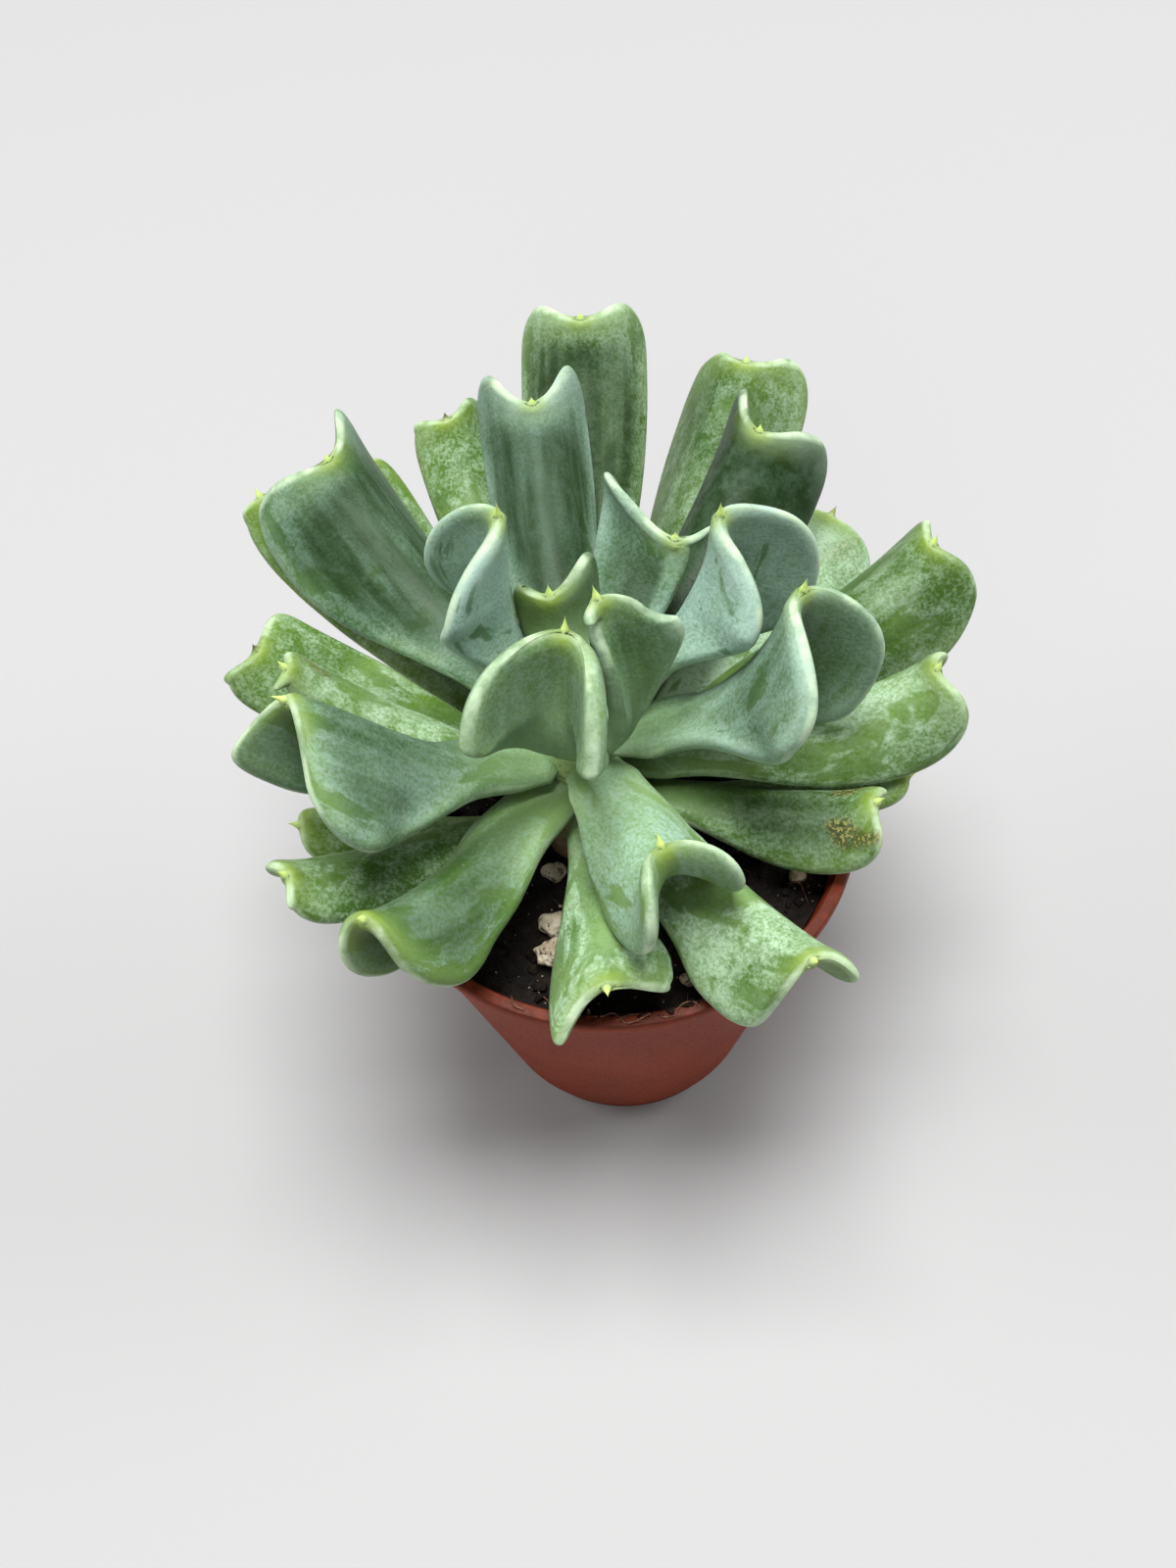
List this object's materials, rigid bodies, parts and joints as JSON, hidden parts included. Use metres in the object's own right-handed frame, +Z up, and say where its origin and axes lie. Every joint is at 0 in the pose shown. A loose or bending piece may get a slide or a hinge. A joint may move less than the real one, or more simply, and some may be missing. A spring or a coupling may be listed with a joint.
{
  "type": "potted topsy turvy echeveria",
  "caption": "Small potted topsy turvy echeveria: a rosette of folded, heart-tipped grey-green leaves standing over dark soil in a round brown nursery pot.",
  "frame": {"origin": "middle of the pot's flat underside", "axes": "+Z up along the pot's axis, +X to the viewer's right, -Y towards the viewer"},
  "size_m": [0.0851, 0.0878, 0.0824],
  "materials": {
    "pot_plastic": "smooth moulded terracotta-brown nursery pot with a fine matte grain",
    "potting_soil": "moist dark peat with crumbs, fibres and grit",
    "stem_skin": "short fleshy stem, corky brown at the soil and pale green among the leaves",
    "bloom_leaf": "fleshy leaf with a waxy blue-green bloom and pale rims",
    "green_leaf": "fleshy lime-green leaf with a patchy, rubbed whitish bloom",
    "perlite": "rough off-white volcanic crumb"
  },
  "bodies": {
    "root": {"pot": "pot_plastic", "soil": "potting_soil", "stem": "stem_skin", "leaf_01": "bloom_leaf", "leaf_02": "bloom_leaf", "leaf_03": "bloom_leaf", "leaf_04": "bloom_leaf", "leaf_05": "bloom_leaf", "leaf_06": "bloom_leaf", "leaf_07": "bloom_leaf", "leaf_08": "bloom_leaf", "leaf_09": "bloom_leaf", "leaf_10": "bloom_leaf", "leaf_11": "bloom_leaf", "leaf_12": "bloom_leaf", "leaf_13": "bloom_leaf", "leaf_14": "green_leaf", "leaf_15": "green_leaf", "leaf_16": "green_leaf", "leaf_17": "green_leaf", "leaf_18": "green_leaf", "leaf_19": "green_leaf", "leaf_20": "green_leaf", "leaf_21": "green_leaf", "leaf_22": "green_leaf", "leaf_23": "green_leaf", "leaf_24": "green_leaf", "leaf_25": "green_leaf", "leaf_26": "green_leaf", "leaf_27": "green_leaf", "leaf_28": "green_leaf", "leaf_29": "green_leaf", "leaf_30": "green_leaf", "perlite_1": "perlite", "perlite_2": "perlite", "perlite_3": "perlite", "perlite_4": "perlite", "perlite_5": "perlite"}
  },
  "joints": []
}
